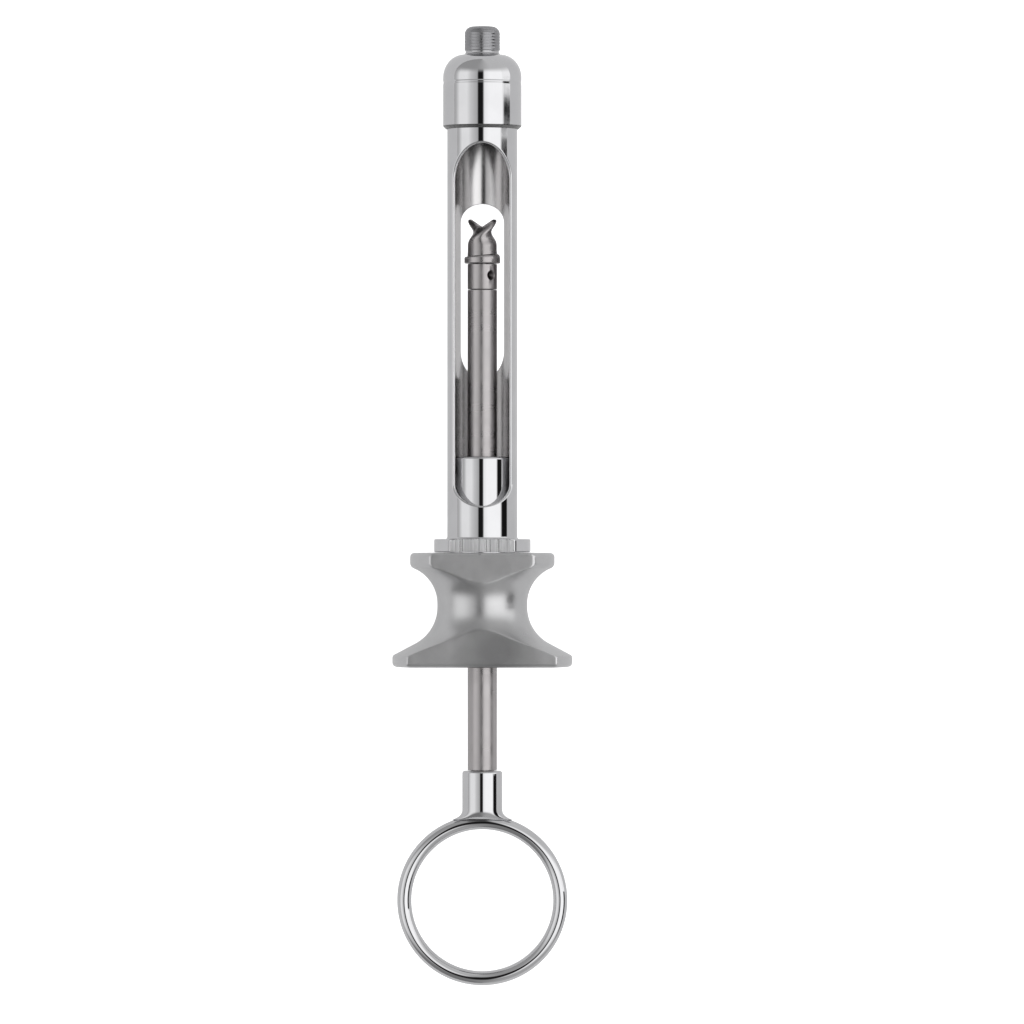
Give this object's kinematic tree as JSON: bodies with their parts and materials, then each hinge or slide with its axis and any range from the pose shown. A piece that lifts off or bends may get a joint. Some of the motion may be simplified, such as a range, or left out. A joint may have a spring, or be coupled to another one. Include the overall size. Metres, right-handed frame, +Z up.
{
  "type": "aspirating dental syringe",
  "caption": "Breech-loading aspirating dental syringe with windowed barrel, sprung guide sleeve, spool finger grip, barbed plunger and thumb ring.",
  "frame": {"origin": "centre of the underside of the bounding box: mid-length of the syringe, on the plane that the back flat of the finger grip rests on", "axes": "+Y along the syringe towards the needle end, +Z up out of the loading window, +X to the right seen from above with the needle end away"},
  "size_m": [0.03, 0.1598, 0.0168],
  "materials": {
    "chrome": "bright polished chrome",
    "blasted_chrome": "bead-blasted satin",
    "satin_steel": "fine-ground satin stainless steel",
    "matt_nickel": "matt",
    "spring_steel": "drawn wire",
    "brass": "turned",
    "black_rubber": "matt"
  },
  "bodies": {
    "barrel_assembly": {"needle_hub": "matt_nickel", "head_cap": "chrome", "barrel": "chrome", "finger_grip": "blasted_chrome", "rear_bush": "brass", "spring_washer": "spring_steel", "return_spring": "spring_steel"},
    "guide": {"guide_sleeve": "chrome", "friction_ring": "black_rubber"},
    "rod_bearing": {"guide_bush": "brass"},
    "plunger": {"plunger_rod": "satin_steel", "harpoon_socket": "satin_steel", "harpoon": "satin_steel", "ring_socket": "chrome", "thumb_ring": "chrome"}
  },
  "joints": [
    {"name": "guide_slide", "type": "slide", "parent": "barrel_assembly", "child": "guide", "axis": [0, 1, 0], "range_m": [-0.0075, 0], "stiffness_N_per_m": 500, "springref_m": 0.002, "deforming": ["return_spring"]},
    {"name": "plunger_turn", "type": "hinge", "parent": "guide", "child": "rod_bearing", "pos_m": [0, 0, 0.0084], "axis": [0, 1, 0], "continuous": true},
    {"name": "plunger_slide", "type": "slide", "parent": "rod_bearing", "child": "plunger", "axis": [0, 1, 0], "range_m": [-0.0403, 0.0171]}
  ]
}
